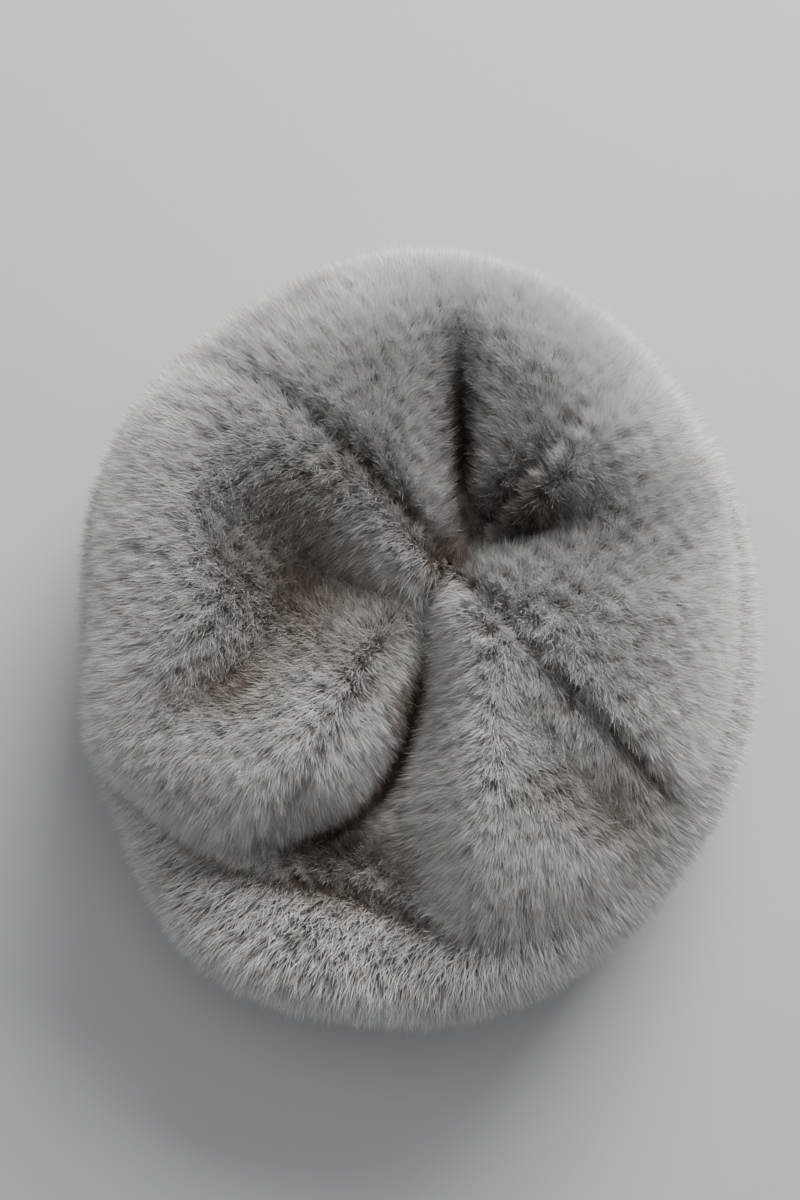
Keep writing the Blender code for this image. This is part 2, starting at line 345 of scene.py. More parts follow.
class FoldLine:
    """The points close together along one fold.

    Args:
        stops: the fold's stops, in order.
        points_each: points between two stops.
    """

    def __init__(self, stops: tuple[Stop, ...], points_each: int = 12) -> None:
        columns = np.array(stops).T
        samples = np.linspace(0, len(stops) - 1, points_each * (len(stops) - 1) + 1)
        rows = [between(np.tile(column, (len(samples), 1)), samples) for column in columns]
        self.x, self.y, self.depth, self.half_width = rows

    def pull(self, points: np.ndarray, depth: np.ndarray, half_width: np.ndarray | float) -> np.ndarray:
        """Gives the largest pull of the line's points on each place.

        Args:
            points: places, x and y first on the last axis.
            depth: each line point's pull.
            half_width: how far it is felt.

        Returns:
            The pull at each place.
        """
        away = (points[..., :1] - self.x) ** 2 + (points[..., 1:2] - self.y) ** 2
        felt = depth * np.exp(-away / half_width**2)
        strongest = np.argmax(np.abs(felt), axis=-1)[..., None]
        return np.take_along_axis(felt, strongest, axis=-1)[..., 0]


class HatForm:
    """The hat's shape: where a turn and a station lie in space.

    Args:
        sizes: the driving sizes.
    """

    def __init__(self, sizes: HatSizes) -> None:
        self.sizes = sizes
        self.middle = np.array(sizes.middle)
        self.folds = {name: FoldLine(stops) for name, stops in FOLDS.items()}

    def outline(self, turn: np.ndarray) -> np.ndarray:
        """Returns the outline's x and y at a turn, on the last axis."""
        angle = np.radians(turn)
        share = np.ones_like(angle)
        for swell in SWELLS:
            share = share + swell.share * np.exp(-((turn_away(turn, swell.turn) / swell.spread) ** 2))
        across, along = np.cos(angle) / self.sizes.half_width, np.sin(angle) / self.sizes.half_length
        reach = share / np.hypot(across, along)
        way = np.stack([np.cos(angle), np.sin(angle)], axis=-1)
        return np.array(self.sizes.outline_middle) + reach[..., None] * way

    def column(self, name: str, turn: np.ndarray) -> np.ndarray:
        """Reads one column of the sections at any turn, on a smooth closed curve."""
        turns = np.array([section.turn for section in SECTIONS], dtype=float)
        values = np.array([getattr(section, name) for section in SECTIONS])
        knots = np.concatenate([turns - 360, turns, turns + 360])
        heights = np.concatenate([values, values, values])
        slopes = np.gradient(heights, knots)
        angle = np.mod(turn, 360.0)
        low = np.searchsorted(knots, angle, side="right") - 1
        step = knots[low + 1] - knots[low]
        part = (angle - knots[low]) / step
        rise = part * part * (3 - 2 * part)
        start_pull = part * (1 - part) ** 2 * step * slopes[low]
        end_pull = part * part * (part - 1) * step * slopes[low + 1]
        return heights[low] * (1 - rise) + heights[low + 1] * rise + start_pull + end_pull

    def dome(self, turn: np.ndarray, station: np.ndarray) -> np.ndarray:
        """Returns points on the outside of the hat before it is folded."""
        names = ("belly", "roll", "seam", "bulge", "shoulder", "top")
        flat = np.zeros_like(turn)
        reaches = [flat + self.sizes.hem_reach] + [self.column(name, turn) for name in names]
        heights = [flat] + [self.column(name + "_z", turn) for name in names]
        reaches += [flat + self.sizes.inner_reach, flat]
        heights += [self.column("inner_z", turn), flat + self.sizes.middle_height]
        reach = between(np.stack(reaches, axis=-1), station)
        height = between(np.stack(heights, axis=-1), station)
        way = self.outline(turn) - self.middle
        seams = sorted(SEAMS.values())
        knots = [seam.turn for seam in seams]
        bow = np.interp(np.mod(turn, 360.0), knots, [seam.bow for seam in seams], period=360)
        curl = np.interp(np.mod(turn, 360.0), knots, [seam.curl for seam in seams], period=360)
        share = np.clip(reach, 0, 1)
        bow = (bow * np.sin(np.pi * share) + curl * share**4) / np.linalg.norm(way, axis=-1)
        x = self.middle[0] + reach * way[..., 0] - bow * way[..., 1]
        y = self.middle[1] + reach * way[..., 1] + bow * way[..., 0]
        return np.stack([x, y, height], axis=-1)

    def skin(self, turn: np.ndarray, station: np.ndarray) -> np.ndarray:
        """Returns points on the outside of the pile with its folds."""
        points = self.dome(turn, station)
        drop = sum(line.pull(points, line.depth, line.half_width) for line in self.folds.values())
        points[..., 2] -= drop * np.clip(station - SEAM_STATION, 0, 1)
        return points

    def reach(self, points: np.ndarray) -> np.ndarray:
        """Returns the distance from the crown's middle, seen from above."""
        return np.hypot(points[..., 0] - self.middle[0], points[..., 1] - self.middle[1])

    def outward(self, turn: np.ndarray, station: np.ndarray) -> np.ndarray:
        """Returns the way out of the unfolded dome, in which the wall is measured."""
        turn_step, step = self.sizes.turn_step, self.sizes.station_step
        round_way = self.dome(turn + turn_step, station) - self.dome(turn - turn_step, station)
        low, high = np.clip(station - step, 0, None), np.clip(station + step, None, END_STATION)
        direction = unit(np.cross(round_way, self.dome(turn, high) - self.dome(turn, low)))
        share = np.exp(-((self.reach(self.dome(turn, station)) / self.sizes.upright_reach) ** 2))[..., None]
        return unit(direction * (1 - share) + np.array([0, 0, 1]) * share)

    def parting(self, turn: np.ndarray, station: np.ndarray, points: np.ndarray) -> np.ndarray:
        """Returns how deep the pile parts at the seams and in the narrow creases."""
        sizes = self.sizes
        groove = sizes.seam_groove * np.clip(sizes.side_groove_share * (station - SEAM_STATION), 0, 1)
        depth = np.zeros_like(turn)
        for seam in SEAMS.values():
            away = np.abs(np.radians(turn_away(turn, seam.turn))) * self.reach(points)
            depth = np.maximum(depth, groove * np.exp(-((away / sizes.groove_half_width) ** 2)))
        away = np.abs(station - SEAM_STATION) * sizes.section_run
        knots, parts = np.array(BAND_SEAM_PARTS).T
        groove = sizes.seam_groove * np.interp(np.mod(turn, 360.0), knots, parts, period=360)
        depth = np.maximum(depth, groove * np.exp(-((away / sizes.groove_half_width) ** 2)))
        return np.clip(depth + self.crease(points), 0, sizes.deepest_parting)

    def crease(self, points: np.ndarray) -> np.ndarray:
        """Returns the depth of the narrow creases alone."""
        depth = np.zeros(points.shape[:-1])
        for name, most in CREASES.items():
            line = self.folds[name]
            pull = most * line.depth / line.depth.max()
            depth = depth + line.pull(points, pull, self.sizes.crease_half_width)
        return depth

    def even_stations(self, low: float, high: float, along: np.ndarray) -> np.ndarray:
        """Splits the section on the right into equal lengths.

        Args:
            low: first station.
            high: last station.
            along: shares of the way, from 0 to 1.

        Returns:
            The station at each share.
        """
        samples = np.linspace(low, high, 400)
        path = self.dome(np.zeros_like(samples), samples)
        run = np.concatenate([[0], np.cumsum(np.linalg.norm(np.diff(path, axis=0), axis=1))])
        return np.interp(along * run[-1], run, samples)


@dataclass(frozen=True)
class Patch:
    """A part of the hat, by turns and stations."""

    name: str
    start: float
    end: float
    low: float
    high: float

    @property
    def span(self) -> float:
        """The angle that the patch takes, in degrees."""
        return (self.end - self.start) % 360 or 360.0


class Held(Enum):
    """How a sewn sheet is held."""

    DRAPED = "draped"
    FOLDED = "folded"


@dataclass(frozen=True)
class Cut:
    """The flat fur that a piece is sewn from: its box in metres and its area in square metres."""

    width: float
    length: float
    area: float
    held: Held
    rests_on: tuple[str, ...] = ()


@dataclass(frozen=True)
class PileLook:
    """How the hairs of one patch stand.

    All lengths are metres; shares are of one.
    """

    triangles: int
    long_share: float
    length: float
    width: float
    lean: float
    stray: float
    tuft: float
    shortest: float = 0.78
    longest: float = 1.12
    crease_shortens: float = 0.45
    root_depth: float = 0.0008
    parting_share: float = 0.5
    droop: float = 0.18
    curl: float = 0.08
    facing_spread: float = 0.35


class SurfaceGrid:
    """A fine grid of the surface that the pile grows on, read between its points.

    Args:
        form: the hat's form.
        patch: the part that the grid covers.
        cells: cells round and along.
        depth: how far the surface lies under the outside of the pile.
    """

    turn_step = 0.35
    station_step = 0.03

    def __init__(self, form: HatForm, patch: Patch, cells: tuple[int, int], depth: float) -> None:
        self.form, self.patch, self.cells = form, patch, cells
        across = np.linspace(0, 1, cells[0] + 1)
        along = np.linspace(0, 1, cells[1] + 1)
        stations = form.even_stations(patch.low, patch.high, along)
        turn, station = np.meshgrid(patch.start + patch.span * across, stations, indexing="ij")
        skin = form.skin(turn, station)
        turn_step, step = self.turn_step, self.station_step
        round_way = form.skin(turn + turn_step, station) - form.skin(turn - turn_step, station)
        low, high = np.clip(station - step, 0, None), np.clip(station + step, None, END_STATION)
        inward_way = form.skin(turn, high) - form.skin(turn, low)
        self.turn, self.station = turn, station
        self.normal = unit(np.cross(round_way, inward_way))
        self.outwards = -unit(inward_way)
        self.parting = form.parting(turn, station, skin)
        wall_way = form.outward(turn, station)
        self.points = skin - depth * wall_way
        self.area = self._areas()

    def _areas(self) -> np.ndarray:
        """Returns the area of each cell."""
        p = self.points
        first = np.cross(p[1:, :-1] - p[:-1, :-1], p[:-1, 1:] - p[:-1, :-1])
        second = np.cross(p[1:, 1:] - p[1:, :-1], p[1:, 1:] - p[:-1, 1:])
        return (np.linalg.norm(first, axis=-1) + np.linalg.norm(second, axis=-1)) / 2

    def scatter(self, count: int, rng: np.random.Generator) -> tuple:
        """Draws places evenly over the surface.

        Args:
            count: how many places.
            rng: source of chance.

        Returns:
            The column, row and the two shares within the cell of each place.
        """
        share = np.cumsum(self.area.ravel())
        drawn = (np.arange(count) + rng.random(count)) / count * share[-1]
        cell = np.clip(np.searchsorted(share, drawn), 0, share.size - 1)
        column, row = np.unravel_index(cell, self.area.shape)
        return column, row, rng.random(count), rng.random(count)

    def read(self, values: np.ndarray, places: tuple) -> np.ndarray:
        """Reads grid values at places given by scatter."""
        column, row, right, up = places
        if values.ndim > 2:
            right, up = right[:, None], up[:, None]
        lower = values[column, row] * (1 - right) + values[column + 1, row] * right
        upper = values[column, row + 1] * (1 - right) + values[column + 1, row + 1] * right
        return lower * (1 - up) + upper * up


class Ripple:
    """A smooth random field in space, a sum of waves of about one length.

    Args:
        wavelength: the length of the waves, in metres.
        seed: picks the field.
        waves: how many waves.
    """

    def __init__(self, wavelength: float, seed: int, waves: int = 28) -> None:
        rng = np.random.default_rng(seed)
        way = unit(rng.normal(size=(waves, 3)))
        self.wave = way * (2 * np.pi / (wavelength * rng.uniform(0.75, 1.45, (waves, 1))))
        self.phase = rng.uniform(0, 2 * np.pi, waves)
        self.scale = math.sqrt(2 / waves)

    def value(self, points: np.ndarray) -> np.ndarray:
        """Returns the field, about -2 to 2."""
        return self.scale * np.cos(points @ self.wave.T + self.phase).sum(axis=-1)

    def slope(self, points: np.ndarray) -> np.ndarray:
        """Returns the field's slope times a wavelength over a turn, about one long."""
        steep = -self.scale * np.sin(points @ self.wave.T + self.phase)
        return steep @ (self.wave / np.linalg.norm(self.wave, axis=1, keepdims=True))


class Hair(Enum):
    """The shapes of hair, by their rows of points: width share and way along the hair."""

    SHORT = ((0.0, 1.0),)
    LONG = ((0.0, 1.0), (0.5, 0.8))


# Half the width of a hair in its tone map, where a hair without width could not be baked
TONE_HALF_WIDTH = 0.004


class PileMesh:
    """Collects hairs and turns them into one mesh.

    Args:
        name: name of the mesh.
    """

    def __init__(self, name: str) -> None:
        self.name = name
        self.points: list[np.ndarray] = []
        self.tones: list[np.ndarray] = []
        self.sizes: list[np.ndarray] = []
        self.corners: list[np.ndarray] = []
        self.total = 0

    def add(
        self,
        shape: Hair,
        root: np.ndarray,
        way: np.ndarray,
        bend: np.ndarray,
        side: np.ndarray,
        width: np.ndarray,
        tone: np.ndarray,
    ) -> None:
        """Adds hairs of one shape.

        Args:
            shape: the hair's shape.
            root: where each hair starts.
            way: from root to tip, before it bends.
            bend: how far the tip is carried off.
            side: the unit way across the hair.
            width: width at the root.
            tone: the hair's tone, from 0 to 1.
        """
        rows, marks = [], []
        for along, share in shape.value:
            centre = root + way * along + bend * along**2
            half = side * (width * share / 2)[:, None]
            rows += [centre - half, centre + half]
            marks += [(tone - TONE_HALF_WIDTH, along), (tone + TONE_HALF_WIDTH, along)]
        rows.append(root + way + bend)
        marks.append((tone, 1.0))
        points = np.stack(rows, axis=1)
        tones = np.stack([np.stack([u, np.full_like(tone, v)], axis=-1) for u, v in marks], axis=1)
        base = self.total + np.arange(len(root))[:, None] * len(rows)
        if shape is Hair.SHORT:
            corners, sizes = base + np.array([0, 1, 2]), np.full(len(root), 3)
            picked = tones
        else:
            corners, sizes = base + np.array([0, 1, 3, 2, 2, 3, 4]), np.tile([4, 3], len(root))
            picked = tones[:, [0, 1, 3, 2, 2, 3, 4]]
        self.points.append(points.reshape(-1, 3))
        self.tones.append(picked.reshape(-1, 2))
        self.sizes.append(sizes)
        self.corners.append(corners.ravel())
        self.total += points.shape[0] * points.shape[1]

    def build(self, least_height: float) -> bpy.types.Mesh:
        """Makes the mesh.

        Args:
            least_height: no point lies lower.

        Returns:
            The mesh, with each hair's tone and way along in its map.
        """
        points = np.concatenate(self.points)
        points[:, 2] = np.maximum(points[:, 2], least_height)
        corners = np.concatenate(self.corners)
        sizes = np.concatenate(self.sizes)
        mesh = bpy.data.meshes.new(self.name)
        mesh.vertices.add(len(points))
        mesh.vertices.foreach_set("co", points.astype(np.float32).ravel())
        mesh.loops.add(len(corners))
        mesh.loops.foreach_set("vertex_index", corners.astype(np.int32))
        mesh.polygons.add(len(sizes))
        starts = np.concatenate([[0], np.cumsum(sizes)[:-1]])
        mesh.polygons.foreach_set("loop_start", starts.astype(np.int32))
        mesh.update(calc_edges=True)
        layer = mesh.uv_layers.new(name="OFBake")
        layer.uv.foreach_set("vector", np.concatenate(self.tones).astype(np.float32).ravel())
        mesh.validate()
        return mesh


FINE_RIPPLE = 0.0045
BROAD_RIPPLE = 0.030


class FurTone:
    """Works out how light or brown the pile is at a place, with painted shade and painted light in it.

    Args:
        form: the hat's form.
    """

    middle = 0.72
    fine_share = 0.050
    broad_share = 0.035
    spread = 0.07
    crease_shade_and_seam_dark = 0.45
    seam_half_width = 0.0024
    band_seam_half_width = 0.0035
    least, most = 0.02, 0.98

    def __init__(self, form: HatForm) -> None:
        self.form = form
        self.fine = Ripple(FINE_RIPPLE, SEED + 1)
        self.broad = Ripple(BROAD_RIPPLE, SEED + 2)

    def hairs(
        self, root: np.ndarray, fine: np.ndarray, crease: np.ndarray, rng: np.random.Generator
    ) -> np.ndarray:
        """Works out each hair's tone.

        Args:
            root: where each hair starts.
            fine: the fine ripple there.
            crease: how deep in a crease or seam each hair is.
            rng: source of chance.

        Returns:
            Tones from dark, 0, to light, 1.
        """
        ripple = self.fine_share * fine + self.broad_share * self.broad.value(root)
        tone = self.middle + ripple + rng.normal(size=len(root)) * self.spread
        # Darker along the seams, where the parted pile shows its brown roots, and darker in the narrow
        # creases as painted shade over those roots; then the painted shade and painted light of the spots
        tone = tone - self.crease_shade_and_seam_dark * crease - self.shade(root)
        return np.clip(tone, self.least, self.most)

    def seam_share(self, turn: np.ndarray, station: np.ndarray, points: np.ndarray) -> np.ndarray:
        """Returns how much of the dark parting of a seam is felt at each place."""
        reach = self.form.reach(points)
        share = np.zeros_like(turn)
        for name, seam in SEAMS.items():
            far, shows = np.array(SEAM_SHOWS[name]).T
            away = np.abs(np.radians(turn_away(turn, seam.turn))) * reach
            dark = np.interp(reach, far, shows) * np.exp(-((away / self.seam_half_width) ** 2))
            share = np.maximum(share, dark)
        share = share * np.clip(2 * (station - SEAM_STATION), 0, 1)
        away = np.abs(station - SEAM_STATION) * self.form.sizes.section_run
        knots, shows = np.array(BAND_SEAM_SHOWS).T
        band = np.interp(np.mod(turn, 360.0), knots, shows, period=360)
        return np.maximum(share, band * np.exp(-((away / self.band_seam_half_width) ** 2)))

    def crease_share(self, points: np.ndarray) -> np.ndarray:
        """Returns how deep in a narrow crease each place is, from 0 to 1."""
        return np.clip(self.form.crease(points) / max(CREASES.values()), 0, 1)

    def shade(self, points: np.ndarray) -> np.ndarray:
        """Returns the painted shade of the spots at each place, below zero where they paint light."""
        total = np.zeros(points.shape[:-1])
        for spot in PAINTED_LIGHT_AND_SHADE:
            away = (points[..., 0] - spot.x) ** 2 + (points[..., 1] - spot.y) ** 2
            total = total + spot.strength * np.exp(-away / spot.reach**2)
        return total


class NodeKit:
    """Makes the shared shader effects once each, as node groups."""

    def __init__(self) -> None:
        self.groups: dict[str, bpy.types.NodeTree] = {}

    @staticmethod
    def ramp(tree: bpy.types.NodeTree, stops: tuple) -> bpy.types.Node:
        """Adds a colour ramp with stops of place and colour."""
        node = tree.nodes.new("ShaderNodeValToRGB")
        ramp = node.color_ramp
        while len(ramp.elements) < len(stops):
            ramp.elements.new(0.5)
        for element, (place, colour) in zip(ramp.elements, stops):
            element.position = place
            element.color = (*colour, 1.0)
        return node

    @staticmethod
    def mix(tree: bpy.types.NodeTree, blend: str = "MIX") -> bpy.types.Node:
        """Adds a colour mix node."""
        node = tree.nodes.new("ShaderNodeMix")
        node.data_type = "RGBA"
        node.blend_type = blend
        return node

    def hair_colour(self) -> bpy.types.NodeTree:
        """Returns the group that turns a tone and a way along a hair into a colour."""
        if "hair_colour" in self.groups:
            return self.groups["hair_colour"]
        tree = bpy.data.node_groups.new("hair_colour", "ShaderNodeTree")
        face = tree.interface
        face.new_socket("Tone", in_out="INPUT", socket_type="NodeSocketFloat")
        face.new_socket("Along", in_out="INPUT", socket_type="NodeSocketFloat")
        face.new_socket("Color", in_out="OUTPUT", socket_type="NodeSocketColor")
        start, end = tree.nodes.new("NodeGroupInput"), tree.nodes.new("NodeGroupOutput")
        tips = self.ramp(tree, TIP_TONES)
        roots = self.ramp(tree, ROOT_TONES)
        climb = tree.nodes.new("ShaderNodeMapRange")
        climb.interpolation_type = "SMOOTHSTEP"
        climb.inputs["From Min"].default_value = 0.05
        climb.inputs["From Max"].default_value = 0.75
        mix = self.mix(tree)
        link = tree.links.new
        link(start.outputs["Tone"], tips.inputs["Fac"])
        link(start.outputs["Tone"], roots.inputs["Fac"])
        link(start.outputs["Along"], climb.inputs["Value"])
        link(climb.outputs["Result"], mix.inputs["Factor"])
        link(roots.outputs["Color"], mix.inputs["A"])
        link(tips.outputs["Color"], mix.inputs["B"])
        link(mix.outputs["Result"], end.inputs["Color"])
        self.groups["hair_colour"] = tree
        return tree

    def mottle(self) -> bpy.types.NodeTree:
        """Returns the group that gives a soft two-scale mottle and its height."""
        if "mottle" in self.groups:
            return self.groups["mottle"]
        tree = bpy.data.node_groups.new("mottle", "ShaderNodeTree")
        face = tree.interface
        face.new_socket("Scale", in_out="INPUT", socket_type="NodeSocketFloat")
        face.new_socket("Value", in_out="OUTPUT", socket_type="NodeSocketFloat")
        start, end = tree.nodes.new("NodeGroupInput"), tree.nodes.new("NodeGroupOutput")
        place = tree.nodes.new("ShaderNodeTexCoord")
        noise = tree.nodes.new("ShaderNodeTexNoise")
        noise.inputs["Detail"].default_value = 4.0
        noise.inputs["Roughness"].default_value = 0.65
        link = tree.links.new
        link(place.outputs["Object"], noise.inputs["Vector"])
        link(start.outputs["Scale"], noise.inputs["Scale"])
        link(noise.outputs["Fac"], end.inputs["Value"])
        self.groups["mottle"] = tree
        return tree


TIP_TONES = (
    (0.00, (0.075, 0.050, 0.036)),
    (0.25, (0.260, 0.205, 0.165)),
    (0.50, (0.560, 0.520, 0.485)),
    (0.75, (0.800, 0.800, 0.800)),
    (1.00, (0.920, 0.925, 0.930)),
)
ROOT_TONES = (
    (0.00, (0.035, 0.022, 0.015)),
    (0.50, (0.300, 0.250, 0.210)),
    (1.00, (0.650, 0.610, 0.575)),
)


@dataclass(frozen=True)
class HairFinish:
    """Fine fur hair: brown at the root, grey-beige to silver at the tip."""

    roughness: float = 0.62
    specular: float = 0.25

    def material(self, name: str, kit: NodeKit) -> bpy.types.Material:
        """Makes the material.

        Args:
            name: its name.
            kit: the shared effects.

        Returns:
            The material.
        """
        material = bpy.data.materials.new(name)
        material.use_nodes = True
        tree = material.node_tree
        shader = tree.nodes["Principled BSDF"]
        shader.inputs["Roughness"].default_value = self.roughness
        shader.inputs["Specular IOR Level"].default_value = self.specular
        where = tree.nodes.new("ShaderNodeUVMap")
        where.uv_map = "OFBake"
        parts = tree.nodes.new("ShaderNodeSeparateXYZ")
        colour = tree.nodes.new("ShaderNodeGroup")
        colour.node_tree = kit.hair_colour()
        link = tree.links.new
        link(where.outputs["UV"], parts.inputs["Vector"])
        link(parts.outputs["X"], colour.inputs["Tone"])
        link(parts.outputs["Y"], colour.inputs["Along"])
        link(colour.outputs["Color"], shader.inputs["Base Color"])
        return material


@dataclass(frozen=True)
class HideFinish:
    """The dense brown underwool that shows between the hairs, and the plain backing inside; darker at the
    seams, and with painted shade in the creases.
    """

    light: tuple[float, float, float] = (0.480, 0.430, 0.385)
    dark: tuple[float, float, float] = (0.050, 0.034, 0.025)
    roughness: float = 0.95
    scale: float = 420.0

    def material(self, name: str, kit: NodeKit) -> bpy.types.Material:
        """Makes the material.

        Args:
            name: its name.
            kit: the shared effects.

        Returns:
            The material.
        """
        material = bpy.data.materials.new(name)
        material.use_nodes = True
        tree = material.node_tree
        shader = tree.nodes["Principled BSDF"]
        shader.inputs["Roughness"].default_value = self.roughness
        shader.inputs["Specular IOR Level"].default_value = 0.1
        mottle = tree.nodes.new("ShaderNodeGroup")
        mottle.node_tree = kit.mottle()
        mottle.inputs["Scale"].default_value = self.scale
        # The shade attribute darkens the wool toward the dark colour: the brown of the parted seams, and
        # painted shade in the creases
        tone = tree.nodes.new("ShaderNodeAttribute")
        tone.attribute_name = "shade"
        sum_up = tree.nodes.new("ShaderNodeMath")
        sum_up.operation = "MULTIPLY"
        mix = kit.mix(tree)
        mix.inputs["A"].default_value = (*self.dark, 1.0)
        mix.inputs["B"].default_value = (*self.light, 1.0)
        bump = tree.nodes.new("ShaderNodeBump")
        bump.inputs["Strength"].default_value = 0.8
        bump.inputs["Distance"].default_value = 0.0012
        link = tree.links.new
        link(mottle.outputs["Value"], sum_up.inputs[0])
        link(tone.outputs["Fac"], sum_up.inputs[1])
        link(sum_up.outputs["Value"], mix.inputs["Factor"])
        link(mix.outputs["Result"], shader.inputs["Base Color"])
        link(mottle.outputs["Value"], bump.inputs["Height"])
        link(bump.outputs["Normal"], shader.inputs["Normal"])
        return material


class FurPanel:
    """One sewn piece of the hat: its hide and the pile on it.

    Args:
        form: the hat's form.
        patch: where the piece lies.
        node: the CAD node that it stands for.
        look: how its hairs stand.
        cells: cells of the hide, across and along.
    """

    pile_depth = 0.0055
    seam_gap = 0.0007
    half_gap_stations = 0.018
    sunk_share = 0.55
    weld = 0.00005
    sharp_from = 50
    quick_width = 1.4
    least_height = 0.0003

    def __init__(
        self,
        form: HatForm,
        patch: Patch,
        node: str,
        look: PileLook,
        cells: tuple[int, int],
    ) -> None:
        self.form, self.patch, self.node, self.look, self.cells = form, patch, node, look, cells
        self.tone = FurTone(form)

    def hide_points(self, across: np.ndarray, along: np.ndarray) -> tuple[np.ndarray, np.ndarray, np.ndarray]:
        """Places the hide's outer and inner points.

        Args:
            across: shares of the way across the patch.
            along: shares of the way along it.

        Returns:
            Outer points, inner points, and how light the wool is at each: darker at the seams, where the pile
            parts, and darker in the creases as painted shade.
        """
        form, patch = self.form, self.patch
        closed = patch.span >= 360
        low = patch.low + (0 if patch.low == 0 else self.half_gap_stations)
        high = patch.high - (self.half_gap_stations if patch.high == SEAM_STATION else 0)
        station = form.even_stations(low, high, along)
        turn = patch.start + patch.span * across
        if not closed:
            inset = np.degrees(self.seam_gap / 2 / form.reach(form.dome(turn, station)))
            turn = turn + inset * (1 - 2 * across)
            turn = np.where(along > 0.999, patch.start + patch.span / 2, turn)
        skin = form.skin(turn, station)
        way = form.outward(turn, station)
        way[station <= 0, 2] = 0
        way = unit(way)
        depth = self.pile_depth + self.sunk_share * form.parting(turn, station, skin)
        # The wool is darker along the seams, where the parted pile shows its brown roots, and darker in the
        # narrow creases as painted shade
        light = 1.2 - 0.9 * np.maximum(
            self.tone.seam_share(turn, station, skin), self.tone.crease_share(skin)
        )
        return skin - depth[..., None] * way, skin - form.sizes.wall * way, light

    def make_hide(self, material: bpy.types.Material) -> bpy.types.Object:
        """Builds the hide: a grid laid on its outside, then extruded to its inside."""
        mesh = bmesh.new()
        bmesh.ops.create_grid(mesh, x_segments=self.cells[0], y_segments=self.cells[1], size=0.5)
        across = mesh.verts.layers.float.new("across")
        along = mesh.verts.layers.float.new("along")
        shade = mesh.verts.layers.float.new("shade")
        for vertex in mesh.verts:
            vertex[across] = vertex.co.x + 0.5
            vertex[along] = vertex.co.y + 0.5

        def lay(vertices: list, side: int) -> None:
            """Moves vertices to the outer (0) or inner (1) side."""
            placed = self.hide_points(
                np.array([v[across] for v in vertices]), np.array([v[along] for v in vertices])
            )
            for vertex, point, light in zip(vertices, placed[side], placed[2]):
                vertex.co = point
                vertex[shade] = light

        lay(mesh.verts[:], 0)
        bmesh.ops.remove_doubles(mesh, verts=mesh.verts[:], dist=self.weld)
        doubled = bmesh.ops.extrude_face_region(mesh, geom=mesh.faces[:], use_keep_orig=True)
        lay([item for item in doubled["geom"] if isinstance(item, bmesh.types.BMVert)], 1)
        bmesh.ops.recalc_face_normals(mesh, faces=mesh.faces[:])
        data = bpy.data.meshes.new(self.patch.name + "_hide")
        mesh.to_mesh(data)
        mesh.free()
        data.shade_smooth()
        data.set_sharp_from_angle(angle=math.radians(self.sharp_from))
        data.materials.append(material)
        hide = bpy.data.objects.new(data.name, data)
        bpy.context.scene.collection.objects.link(hide)
        return hide

    def make_pile(self, material: bpy.types.Material, seed: int) -> bpy.types.Object:
        """Builds the pile, hair by hair."""
        look = self.look
        rng = np.random.default_rng(seed)
        grid = SurfaceGrid(self.form, self.patch, self.grid_cells(), self.pile_depth)
        budget = look.triangles // 1
        long_count = int(budget * look.long_share / 3)
        short_count = int(budget - 3 * long_count)
        pile = PileMesh(self.patch.name + "_pile")
        for shape, count, length, width in (
            (Hair.SHORT, short_count, 0.92, 1.1),
            (Hair.LONG, long_count, 1.0, 1.0),
        ):
            wide = look.width * width * 1
            self.grow(pile, grid, shape, count, (look.length * length, wide), rng)
        data = pile.build(self.least_height)
        data.materials.append(material)
        hair = bpy.data.objects.new(data.name, data)
        bpy.context.scene.collection.objects.link(hair)
        log.info("%s: %d hairs, %d triangles", data.name, long_count + short_count, budget)
        return hair

    def grid_cells(self) -> tuple[int, int]:
        """Returns the cells of the fine grid, about 1.5 mm each."""
        rows = 72 if self.patch.high == SEAM_STATION else 110
        return max(60, int(self.patch.span * 1.3)), rows

    def grow(
        self,
        pile: PileMesh,
        grid: SurfaceGrid,
        shape: Hair,
        count: int,
        size: tuple[float, float],
        rng: np.random.Generator,
    ) -> None:
        """Grows hairs of one shape on the grid.

        Args:
            pile: the mesh that takes them.
            grid: the surface.
            shape: the shape of hair.
            count: how many.
            size: length and width.
            rng: source of chance.
        """
        look = self.look
        places = grid.scatter(count, rng)
        root = grid.read(grid.points, places)
        normal = unit(grid.read(grid.normal, places))
        outwards = unit(grid.read(grid.outwards, places))
        parting = grid.read(grid.parting, places)
        turn, station = grid.read(grid.turn, places), grid.read(grid.station, places)
        crease = np.maximum(self.tone.crease_share(root), self.tone.seam_share(turn, station, root))
        fine = self.tone.fine.value(root)
        tuft = self.tone.fine.slope(root)
        jitter = rng.normal(size=(count, 3)) * look.stray
        way = unit(normal + look.lean * outwards + jitter + look.tuft * tuft)
        way = unit(way + 0.25 * np.clip(0.1 - np.sum(way * normal, axis=1), 0, None)[:, None] * normal)
        length = size[0] * rng.uniform(look.shortest, look.longest, count)
        length = length * (1 - look.crease_shortens * crease)
        root = root - normal * (look.root_depth + look.parting_share * parting)[:, None]
        bend = (outwards * look.droop + rng.normal(size=(count, 3)) * look.curl) * length[:, None]
        face = unit(normal + rng.normal(size=(count, 3)) * look.facing_spread)
        side = unit(np.cross(way, face))
        tone = self.tone.hairs(root, fine, crease, rng)
        pile.add(shape, root, way * length[:, None], bend, side, np.full(count, size[1]), tone)


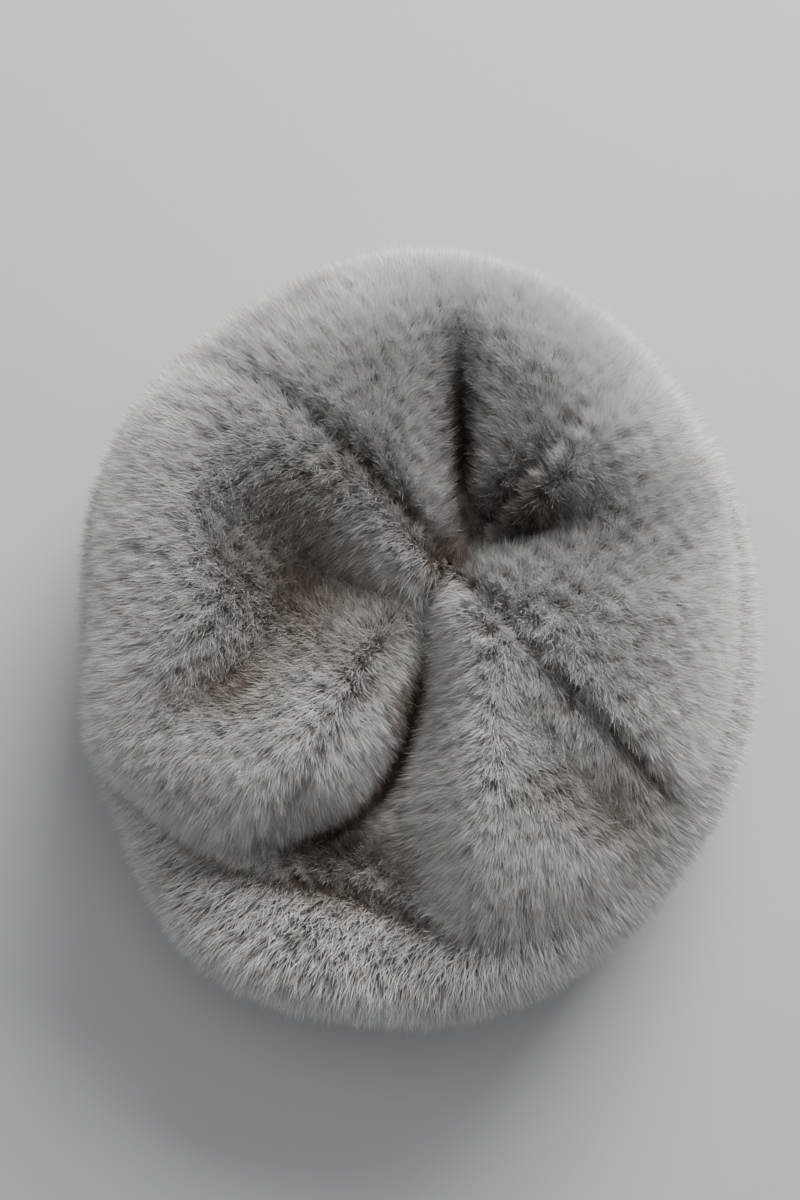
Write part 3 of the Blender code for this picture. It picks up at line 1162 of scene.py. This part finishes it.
class Hat:
    """The whole hat: four gores and the side band."""

    def __init__(self) -> None:
        self.form = HatForm(HatSizes())
        self.kit = NodeKit()

    def panels(self) -> list[FurPanel]:
        """Returns the hat's panels."""
        crown = PileLook(triangles=170000, long_share=0.22, length=0.0092, width=0.00030,
                         lean=0.40, stray=0.20, tuft=0.28)
        side = PileLook(triangles=190000, long_share=0.30, length=0.0098, width=0.00045,
                        lean=0.30, stray=0.20, tuft=0.25)
        made = []
        for name, (start, end) in GORES.items():
            patch = Patch(name, SEAMS[start].turn, SEAMS[end].turn, SEAM_STATION, TIP_STATION)
            made.append(FurPanel(self.form, patch, name, crown, (72, 54)))
        band = Patch("side_band", 0.0, 360.0, 0.0, SEAM_STATION)
        made.append(FurPanel(self.form, band, "side_band", side, (200, 18)))
        return made

    def build(self) -> None:
        """Builds every piece and fastens it to the body."""
        hair = HairFinish().material("fur_hair", self.kit)
        hide = HideFinish().material("fur_hide", self.kit)
        for number, panel in enumerate(self.panels()):
            base = panel.make_hide(hide)
            pile = panel.make_pile(hair, SEED + 10 * number)
            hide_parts(panel.node)
            for piece in (base, pile):
                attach(piece, "root")


@dataclass(frozen=True)
class Studio:
    """The floor, the soft light and the camera at the photograph's angle."""

    elevation: float = 80.0
    distance: float = 0.6179
    target: tuple[float, float, float] = (-0.00676, 0.00946, 0.06759)
    lens: float = 55.0
    floor_half: float = 3.0

    def build(self) -> None:
        """Builds it all."""
        self.add_floor()
        self.add_camera()
        self.add_area("key_light", (0.50, 1.10, 0.85), 0.9, 38.0, (1.0, 0.995, 0.985))
        self.add_area("top_light", (0.0, 0.1, 1.5), 1.2, 6.0, (0.97, 0.985, 1.0))
        self.add_world()

    def add_floor(self) -> None:
        """Adds the plain pale floor."""
        half = self.floor_half
        data = bpy.data.meshes.new("floor")
        corners = [(-half, -half, 0), (half, -half, 0), (half, half, 0), (-half, half, 0)]
        data.from_pydata(corners, [], [(0, 1, 2, 3)])
        floor = bpy.data.objects.new("floor", data)
        bpy.context.scene.collection.objects.link(floor)
        material = bpy.data.materials.new("floor_paint")
        material.use_nodes = True
        tree = material.node_tree
        shader = tree.nodes["Principled BSDF"]
        shader.inputs["Roughness"].default_value = 0.8
        noise = tree.nodes.new("ShaderNodeTexNoise")
        noise.inputs["Scale"].default_value = 3.0
        ramp = NodeKit.ramp(tree, ((0.3, (0.60, 0.60, 0.60)), (0.7, (0.63, 0.63, 0.63))))
        tree.links.new(noise.outputs["Fac"], ramp.inputs["Fac"])
        tree.links.new(ramp.outputs["Color"], shader.inputs["Base Color"])
        data.materials.append(material)

    def add_camera(self) -> None:
        """Adds the camera and makes it the scene's."""
        data = bpy.data.cameras.new("camera")
        data.lens = self.lens
        data.sensor_fit = "VERTICAL"
        data.sensor_height = 36.0
        camera = bpy.data.objects.new("camera", data)
        bpy.context.scene.collection.objects.link(camera)
        rise = math.radians(self.elevation)
        look = Vector((0.0, math.cos(rise), -math.sin(rise)))
        camera.location = Vector(self.target) - look * self.distance
        camera.rotation_euler = look.to_track_quat("-Z", "Y").to_euler()
        bpy.context.scene.camera = camera

    def add_area(self, name: str, place: tuple, size: float, power: float, colour: tuple) -> None:
        """Adds a square soft light that faces the hat."""
        data = bpy.data.lights.new(name, "AREA")
        data.size = size
        data.energy = power
        data.color = colour
        light = bpy.data.objects.new(name, data)
        bpy.context.scene.collection.objects.link(light)
        light.location = place
        light.rotation_euler = (Vector((0, 0, 0.05)) - Vector(place)).to_track_quat("-Z", "Y").to_euler()

    def add_world(self) -> None:
        """Adds the even light from all round."""
        world = bpy.data.worlds.new("studio")
        world.use_nodes = True
        sky = world.node_tree.nodes["Background"]
        sky.inputs["Color"].default_value = (0.95, 0.97, 1.0, 1.0)
        sky.inputs["Strength"].default_value = 0.18
        bpy.context.scene.world = world


def main() -> None:
    """Builds the hat and the studio."""
    Hat().build()
    Studio().build()


if __name__ == "__main__":
    main()
